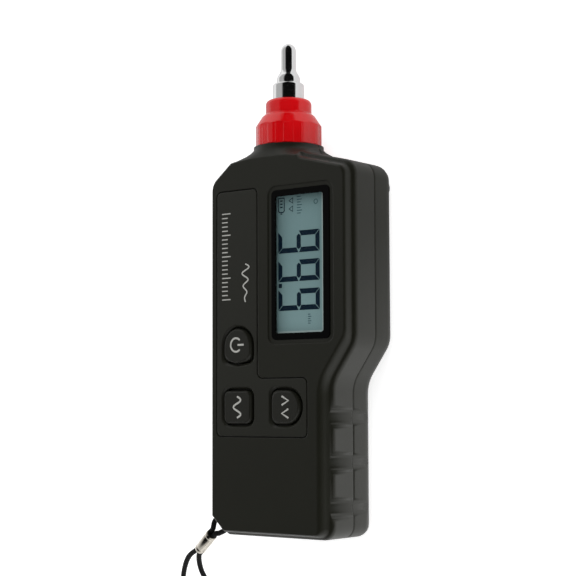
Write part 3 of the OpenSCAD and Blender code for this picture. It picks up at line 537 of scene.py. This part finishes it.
# A merged copy of a CAD node, shaded smooth between its sharp edges
def smoothCopy(spec, name, node, sharpFrom):
    bm = bmesh.new()
    bm.from_mesh(nodes[node].data)
    bmesh.ops.remove_doubles(bm, verts=bm.verts, dist=spec["merge"])
    bmesh.ops.dissolve_degenerate(bm, dist=spec["speck"], edges=bm.edges)
    bmesh.ops.dissolve_limit(bm, angle_limit=math.radians(spec["flatTo"]), verts=bm.verts,
                             edges=bm.edges)
    slot, made = nodeFinishes[node]
    piece = place(name, meshFrom(bm, name, sharpFrom), made, bodyOf[node], (node,))
    even = piece.modifiers.new("evenShading", "WEIGHTED_NORMAL")
    even.keep_sharp = True
    even.weight = spec["faceWeight"]


for name, (node, sharpFrom) in smoothing["pieces"].items():
    smoothCopy(smoothing, name, node, sharpFrom)
print("moulded pieces dressed:", len(smoothing["pieces"]))


# A line through the points, with a few places between each two
def smoothLine(points, between):
    ends = [points[0] * 2 - points[1], *points, points[-1] * 2 - points[-2]]
    line = []
    for a, b, c, d in zip(ends, ends[1:], ends[2:], ends[3:]):
        for step in range(between):
            t = step / between
            line.append(0.5 * (2 * b + (c - a) * t + (2 * a - 5 * b + 4 * c - d) * t * t
                               + (3 * b - a - 3 * c + d) * t ** 3))
    return line + [points[-1]]


def lengthOf(line):
    return sum((b - a).length for a, b in zip(line, line[1:]))


# A mesh of round tubes along the lines; a line that ends where it starts is closed
def tubes(name, lines, width, resolution):
    curve = bpy.data.curves.new(name, "CURVE")
    curve.dimensions = "3D"
    curve.bevel_depth = width / 2
    curve.bevel_resolution = resolution
    curve.use_fill_caps = True
    for line in lines:
        spline = curve.splines.new("POLY")
        closed = len(line) > 2 and (line[0] - line[-1]).length < 1e-6
        line = line[:-1] if closed else line
        spline.points.add(len(line) - 1)
        spline.use_cyclic_u = closed
        for spot, p in zip(spline.points, line):
            spot.co = (*p, 1)
    drawn = bpy.data.objects.new(name + "Line", curve)
    bpy.context.scene.collection.objects.link(drawn)
    mesh = bpy.data.meshes.new_from_object(drawn.evaluated_get(
        bpy.context.evaluated_depsgraph_get()))
    bpy.data.objects.remove(drawn)
    mesh.name = name
    mesh.shade_smooth()
    return mesh


# Both cords of the strap: the loop round the eye, and the wrist cord that lies on the table;
# the diameter is in metres, and all else in mm
strap = {"diameter": 0.002, "from": (-30, -0.3, 23.4), "way": (-8.6, -6.5, -2.8),
         "sleeve": 11, "straight": 2, "aside": 1.125, "between": 4, "resolution": 3,
         "loop": [(-28.6, 4.4, 23.6), (-26.5, 6.1, 23.6), (-24.6, 7.1, 23.6), (-22.3, 6.2, 23.6),
                  (-21.5, 4.2, 23.6), (-22.1, 2.4, 23.6), (-23.8, 1.3, 23.6), (-26.4, 0.2, 23.6)],
         "wrist": [(-45.8, -9.8, 18.6), (-50, -14.6, 16.4), (-53.6, -21.2, 13.4),
                   (-56.4, -28.4, 9.8), (-58.4, -34.4, 6.4), (-59.2, -40.6, 3.4),
                   (-58.4, -46.8, 1.6), (-56, -52.6, 1.1), (-52, -57.8, 1.1),
                   (-46.6, -62, 1.1), (-40.2, -65.2, 1.1), (-33, -67.4, 1.1),
                   (-25.6, -68.6, 1.1), (-18, -68.8, 1.1), (-10.6, -68, 1.1),
                   (-3.4, -66.2, 1.1), (3.4, -63.4, 1.1), (9, -59.2, 1.1), (12.6, -53.6, 1.1),
                   (13.4, -47.2, 1.1), (11.4, -41.2, 1.1), (6.8, -36.4, 1.1),
                   (0.4, -33.4, 1.1), (-6.6, -31.8, 1.1), (-13.8, -31.2, 1.1),
                   (-20.8, -31.2, 1.3), (-27.4, -30.8, 2.4), (-33.4, -29.2, 4.6),
                   (-38, -26, 7.8), (-40.8, -21.4, 11.6), (-41.8, -16.4, 15.2),
                   (-41.2, -12.2, 17.8)]}


# A braided cord: a tube along the line, with a map that runs along it
def braidedCord(spec, name, points, node):
    line = smoothLine([at(*p) for p in points], spec["between"])
    mesh = tubes(name, [line], spec["diameter"], spec["resolution"])
    return place(name, mesh, "cordBraid", "housing", (node,)), line


def makeStrap(spec, sleevePiece):
    start, way = Vector(spec["from"]), Vector(spec["way"]).normalized()
    end = start + way * spec["sleeve"]
    aside = way.cross(Vector((0, 0, 1))).normalized() * spec["aside"]
    lead = way * spec["straight"]
    loop = [start + aside, start + aside - lead, *spec["loop"],
            start - aside - lead, start - aside]
    wrist = [end + aside, end + aside + lead, *spec["wrist"], end - aside + lead, end - aside]
    eyeLoop, eyeLine = braidedCord(spec, "eyeLoop", loop, "strap_loop")
    wristLoop, wristLine = braidedCord(spec, "wristLoop", wrist, "wrist_cord")
    lengthOf(wristLine)
    print("strap laid: loop", round(lengthOf(eyeLine), 4), "wrist", round(lengthOf(wristLine), 4))


# A flat shape of the given outline, raised by its height
def flatShape(bm, outline, low, height):
    corners = [bm.verts.new((p[0], p[1], low)) for p in outline]
    face = bm.faces.new(corners)
    if face.normal.z < 0:
        face.normal_flip()
    raised = bmesh.ops.extrude_face_region(bm, geom=[face])
    lifted = [g for g in raised["geom"] if isinstance(g, bmesh.types.BMVert)]
    bmesh.ops.translate(bm, verts=lifted, vec=(0, 0, height))


def closeOutwards(bm):
    bmesh.ops.recalc_face_normals(bm, faces=bm.faces)


# Rounded strokes of ink along each path, pressed flat on the surface
def inkStrokes(name, paths, width, low, height):
    mesh = tubes(name, paths, width, 2)
    mesh.transform(Matrix.Translation((0, 0, low)) @ Matrix.Diagonal((1, 1, height / width, 1)))
    return mesh


def flat(*points):
    return [at(x, y, 0) for x, y in points]


def arc(x, y, radius, first, last, steps):
    angles = [first + (last - first) * k / steps for k in range(steps + 1)]
    return flat(*((x + radius * math.cos(a), y + radius * math.sin(a)) for a in angles))


# A wave along y with its crests towards +x
def wave(x, y0, y1, tall, turns, steps=48, fade=0):
    line = []
    for k in range(steps + 1):
        t = k / steps
        size = tall * (1 - t) ** fade
        line.append(at(x + size * math.sin(2 * math.pi * turns * t), y0 + (y1 - y0) * t, 0))
    return line


# A row of ticks that goes towards the bottom end; some of them are longer
def tickRow(x, first, pitch, count, short, long, every, longAt):
    ticks = []
    for k in range(count):
        y = first - pitch * k
        ticks.append(flat((x, y), (x + (long if k % every == longAt else short), y)))
    return ticks


# Digits on the display, seen through the window; places are x from the probe axis, y from the
# bottom, in mm. A digit's top points to +x, and it is read towards the bottom end.
display = {"foot": 4.5, "top": 23.2, "middle": 13.85, "bar": 1.84, "nick": 0.16,
           "digits": [(110.25, 102.4), (99.75, 92.0), (89.25, 81.55)],
           "shown": "abcdfg", "dot": (4.65, 6.15, 89.9, 91.4), "lift": 0.02, "thick": 0.02}


# Outlines of a digit's bars, with mitred ends and a nick between them; left has the larger y
def digitBars(spec, left, right):
    foot, middle, top = spec["foot"], spec["middle"], spec["top"]
    bar, nick = spec["bar"], spec["nick"]
    half, inLeft, inRight = bar / 2, left - bar, right + bar

    def across(end, inner):  # the top or foot bar
        return [(end, left - nick), (end, right + nick), (inner, inRight + nick),
                (inner, inLeft - nick)]

    def along(side, inside, outer, way):  # a side bar, from the middle outwards
        return [(middle + way * nick, side), (outer - way * nick, side),
                (outer - way * (bar + nick), inside), (middle + way * (half + nick), inside)]

    return {"a": across(top, top - bar), "d": across(foot, foot + bar),
            "b": along(right, inRight, top, 1), "c": along(right, inRight, foot, -1),
            "f": along(left, inLeft, top, 1), "e": along(left, inLeft, foot, -1),
            "g": [(middle, left - half - nick), (middle + half, inLeft),
                  (middle + half, inRight), (middle, right + half + nick),
                  (middle - half, inRight), (middle - half, inLeft)]}


def makeDisplayDigits(spec):
    outlines = []
    for left, right in spec["digits"]:
        bars = digitBars(spec, left, right)
        outlines += [bars[name] for name in spec["shown"]]
    x0, x1, y0, y1 = spec["dot"]
    outlines.append([(x0, y0), (x1, y0), (x1, y1), (x0, y1)])
    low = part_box("lcd_glass")[1][2] + spec["lift"] / 1000
    bm = bmesh.new()
    for outline in outlines:
        flatShape(bm, flat(*outline), low, spec["thick"] / 1000)
    closeOutwards(bm)
    place("displayDigits", meshFrom(bm, "displayDigits"), "lcdMark")


# Plain signs round the digits: a battery with bars, two triangles, and fainter ticks and a ring
displayMarks = {"battery": (4.7, 7.3, 122.6, 117.4), "corner": 0.5, "nubOut": 0.55,
                "nubWide": 0.8, "bars": 3, "barsFrom": 1, "barPitch": 1.15, "barInset": 0.75,
                "triangle": (9.5, 11.2), "triangleWide": 2, "triangles": (122.4, 119.4),
                "upperTicks": {"x": 13.1, "first": 122.6, "pitch": 1, "count": 7,
                               "short": 1.7, "long": 2.3, "every": 2, "longAt": 1},
                "lowerTicks": {"x": 17.9, "first": 79.9, "pitch": 0.8, "count": 5,
                               "short": 1.1, "long": 1.5, "every": 2, "longAt": 1},
                "ring": (21.6, 120.2, 0.8), "ringSteps": 16, "lift": 0.03, "line": 0.42,
                "triangleLine": 0.44, "faintLine": 0.3, "thick": 0.02, "faintThick": 0.01}


def makeDisplayMarks(spec):
    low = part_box("lcd_glass")[1][2] + spec["lift"] / 1000

    def ink(name, paths, line, thick, made):
        mesh = inkStrokes(name, paths, spec[line] / 1000, low, spec[thick] / 1000)
        place(name, mesh, made)

    x0, x1, y0, y1 = spec["battery"]
    corner, inset, nub = spec["corner"], spec["barInset"], y1 - spec["nubOut"]
    middle, half = (x0 + x1) / 2, spec["nubWide"] / 2
    body = flat((x0, y0), (x1, y0), (x1, y1 + corner), (x1 - corner, y1), (x0 + corner, y1),
                (x0, y1 + corner), (x0, y0))
    paths = [body, flat((middle - half, nub), (middle + half, nub))]
    for k in range(spec["bars"]):
        y = y0 - spec["barsFrom"] - k * spec["barPitch"]
        paths.append(flat((x0 + inset, y), (x1 - inset, y)))
    ink("displaySigns", paths, "line", "thick", "lcdMark")

    tip, side = spec["triangle"]
    wide = spec["triangleWide"]
    marks = [flat((side, y), (tip, y - wide / 2), (side, y - wide), (side, y))
             for y in spec["triangles"]]
    ink("displayRange", marks, "triangleLine", "thick", "lcdMark")

    ticks = tickRow(**spec["upperTicks"]) + tickRow(**spec["lowerTicks"])
    ring = arc(*spec["ring"], 0, 2 * math.pi, spec["ringSteps"])
    ink("displayTicks", ticks + [ring], "faintLine", "faintThick", "lcdFaint")


makeDisplayDigits(display)
makeDisplayMarks(displayMarks)
print("display marked")

# Plain signs on the keys and the panel, printed in pale ink: an open ring with a stem, a wave,
# two chevrons, a row of ticks and a fading wave
prints = {"keyTop": 29.5, "panelTop": 29, "lift": 0.005, "thick": 0.03, "line": 0.72,
          "measureKey": (-12.8, 69.7), "modeKey": (-12.8, 46.9), "rangeKey": (9.5, 46.9),
          "ring": 2.5, "ringBack": 0.5, "ringOpen": 0.24, "ringSteps": 22, "stem": (0.3, 3.2),
          "waveReach": 3.9, "waveTall": 1.7, "waveTurns": 1.5,
          "chevrons": (0.7, 3.9), "chevronTall": 1.5,
          "ruler": {"x": -20.4, "first": 118.6, "pitch": 1.6, "count": 21,
                    "short": 2.8, "long": 4.1, "every": 5, "longAt": 0},
          "rulerLine": 0.42,
          "fading": {"x": -9.2, "y0": 99.4, "y1": 85.4, "tall": 1.9, "turns": 3,
                     "steps": 60, "fade": 0.7},
          "fadingLine": 0.55}


def makePrints(spec):
    def ink(name, paths, body, top="keyTop", line="line"):
        low = (spec[top] + spec["lift"]) / 1000
        mesh = inkStrokes(name, paths, spec[line] / 1000, low, spec["thick"] / 1000)
        place(name, mesh, "printWhite", body)

    x, y = spec["measureKey"]
    opening = math.pi * spec["ringOpen"]
    ring = arc(x - spec["ringBack"], y, spec["ring"], opening, 2 * math.pi - opening,
               spec["ringSteps"])
    ink("measureSign", [ring, flat(*((x + end, y) for end in spec["stem"]))], "measure_key")

    x, y = spec["modeKey"]
    reach = spec["waveReach"]
    ink("modeSign", [wave(x, y + reach, y - reach, spec["waveTall"], spec["waveTurns"])],
        "mode_key")

    x, y = spec["rangeKey"]
    near, far = spec["chevrons"]
    middle, half = (near + far) / 2, spec["chevronTall"]
    ink("rangeSign", [flat((x - half, y + far), (x + half, y + middle), (x - half, y + near)),
                      flat((x + half, y - near), (x - half, y - middle), (x + half, y - far))],
        "range_key")

    ink("panelRuler", tickRow(**spec["ruler"]), "housing", "panelTop", "rulerLine")
    ink("panelWave", [wave(**spec["fading"])], "housing", "panelTop", "fadingLine")


makePrints(prints)
print("keys and panel printed")

# The steel sleeve that joins the strap: a drawn tube with rolled ends
sleeve = {"profile": [(0.9, 0), (1.7, 0), (2.05, 0.12), (2.2, 0.42), (2.2, 1.5), (2.14, 1.75),
                      (2.2, 2.0), (2.2, 9.0), (2.14, 9.25), (2.2, 9.5), (2.2, 10.58),
                      (2.05, 10.88), (1.7, 11), (0.9, 11)], "steps": 48, "sharpFrom": 40}


# Turns a profile of (radius, height) pairs, in mm, round the z axis
def turned(profile, steps):
    bm = bmesh.new()
    line = [bm.verts.new((r / 1000, 0, h / 1000)) for r, h in profile]
    edges = [bm.edges.new(pair) for pair in zip(line, line[1:])]
    bmesh.ops.spin(bm, geom=line + edges, axis=(0, 0, 1), cent=(0, 0, 0), steps=steps,
                   angle=2 * math.pi, use_merge=True)
    bmesh.ops.remove_doubles(bm, verts=bm.verts, dist=0.000001)
    bmesh.ops.holes_fill(bm, edges=[e for e in bm.edges if e.is_boundary], sides=0)
    closeOutwards(bm)
    return bm


def makeSleeve(spec, strapSpec):
    bm = turned(spec["profile"], spec["steps"])
    way = Vector(strapSpec["way"]).normalized()
    bmesh.ops.transform(bm, verts=bm.verts,
                        matrix=Matrix.Translation(at(*strapSpec["from"]))
                        @ way.to_track_quat("Z", "Y").to_matrix().to_4x4())
    return place("strapSleeve", meshFrom(bm, "strapSleeve", spec["sharpFrom"]),
                 "sleeveSteel", "housing", ("strap_ferrule",))


makeStrap(strap, makeSleeve(sleeve, strap))

# The table's top: pale, with one glow for the camera and through the window, and another where
# the meter mirrors it, which rises towards the grip between two places along y
table = {"colour": (0.84, 0.84, 0.84), "halfWide": 6, "below": 0.0001, "glow": 0.72,
         "mirroredGlow": 0.18, "gripGlow": 0.75, "gripFrom": (0.02, -0.05)}


# Whether a ray comes from the camera, off a mirroring surface or through a clear one
def rayKinds(sheet):
    rays = sheet.node("ShaderNodeLightPath").socket.node.outputs
    return [Wire(sheet, rays[kind])
            for kind in ("Is Camera Ray", "Is Glossy Ray", "Is Transmission Ray")]


def makeTable(spec):
    bm = bmesh.new()
    bmesh.ops.create_grid(bm, x_segments=1, y_segments=1, size=spec["halfWide"])
    bmesh.ops.translate(bm, verts=bm.verts, vec=(0, 0, -spec["below"]))
    mesh = bpy.data.meshes.new("tableTop")
    bm.to_mesh(mesh)
    bm.free()
    top = bpy.data.objects.new("tableTop", mesh)
    bpy.context.scene.collection.objects.link(top)
    made = bpy.data.materials.new("tablePale")
    made.use_nodes = True
    made.node_tree.nodes.clear()
    sheet = Sheet(made.node_tree)
    camera, glossy, through = rayKinds(sheet)
    y = axes(sheet, sheet.node("ShaderNodeTexCoord", out="Object"))[1]
    byGrip = sheet.rise(y, *spec["gripFrom"]) * spec["gripGlow"]
    glow = camera.math("MAXIMUM", through) * spec["glow"]
    glow = glow.math("MAXIMUM", glossy * (byGrip + spec["mirroredGlow"]))
    plain = sheet.node("ShaderNodeBsdfDiffuse", {}, {"Color": (*spec["colour"], 1)})
    light = sheet.node("ShaderNodeEmission", {}, {"Strength": glow})
    both = sheet.node("ShaderNodeAddShader", {}, {0: plain, 1: light})
    sheet.node("ShaderNodeOutputMaterial", {}, {"Surface": both})
    mesh.materials.append(made)


# The sky: white for the camera and at one level as light. The meter mirrors it bright low on
# the left, and dark high on the left but lighter towards the probe. Elsewhere it mirrors it
# bright only low down, with a lighter strip ahead. Each pair is where a part begins and ends.
sky = {"level": 0.46, "dark": 0.003, "right": (-0.24, -0.08), "high": (0.25, 0.45),
       "overhead": (-0.18, 0.12), "towardsProbe": 0.45, "slant": 0.7, "aloft": (0.04, 0.2),
       "lowGlow": 0.9, "ahead": (0.35, 0.65), "aheadRight": (-0.3, -0.12), "aheadGlow": 0.6}


def makeSky(spec):
    world = bpy.data.worlds.new("studioSky")
    bpy.context.scene.world = world
    world.use_nodes = True
    world.node_tree.nodes.clear()
    sheet = Sheet(world.node_tree)
    camera, glossy, through = rayKinds(sheet)
    x, y, z = axes(sheet, sheet.node("ShaderNodeTexCoord", out="Generated"))
    left = 1 - sheet.rise(x, *spec["right"])
    high = sheet.rise(z, *spec["high"])
    overhead = sheet.rise(y, *spec["overhead"]) * spec["towardsProbe"] + spec["dark"]
    aloft = sheet.rise(z + y * spec["slant"], *spec["aloft"])
    ahead = sheet.rise(y, *spec["ahead"]) * (1 - sheet.rise(x, *spec["aheadRight"]))
    elsewhere = (1 - aloft) * spec["lowGlow"] + spec["dark"] + ahead * spec["aheadGlow"]
    mirrored = left * (1 - high) + left * high * overhead + (1 - left) * elsewhere
    level = glossy * mirrored.math("MINIMUM", 1) + (1 - glossy) * spec["level"]
    level = level.math("MAXIMUM", camera.math("MAXIMUM", through))
    light = sheet.node("ShaderNodeBackground", {}, {"Color": (1, 1, 1, 1), "Strength": level})
    sheet.node("ShaderNodeOutputWorld", {}, {"Surface": light})


# Each lamp's name, where it shines from, its strength and its spread in degrees
lamps = [("lampTop", (0.25, 0.85, 0.55), 0.9, 40), ("lampLeft", (-0.85, 0.2, 0.4), 0.7, 30),
         ("lampSide", (0.95, -0.35, 0.2), 0.8, 30)]


def makeLamp(name, way, strength, spread):
    lamp = bpy.data.lights.new(name, "SUN")
    lamp.energy = strength
    lamp.angle = math.radians(spread)
    hung = bpy.data.objects.new(name, lamp)
    bpy.context.scene.collection.objects.link(hung)
    hung.rotation_euler = Vector(way).to_track_quat("Z", "Y").to_euler()
    hung.location = Vector(way)
    hung.visible_glossy = False  # what the meter mirrors comes from the sky and the table


makeTable(table)
makeSky(sky)
for lamp in lamps:
    makeLamp(*lamp)
print("studio lit")
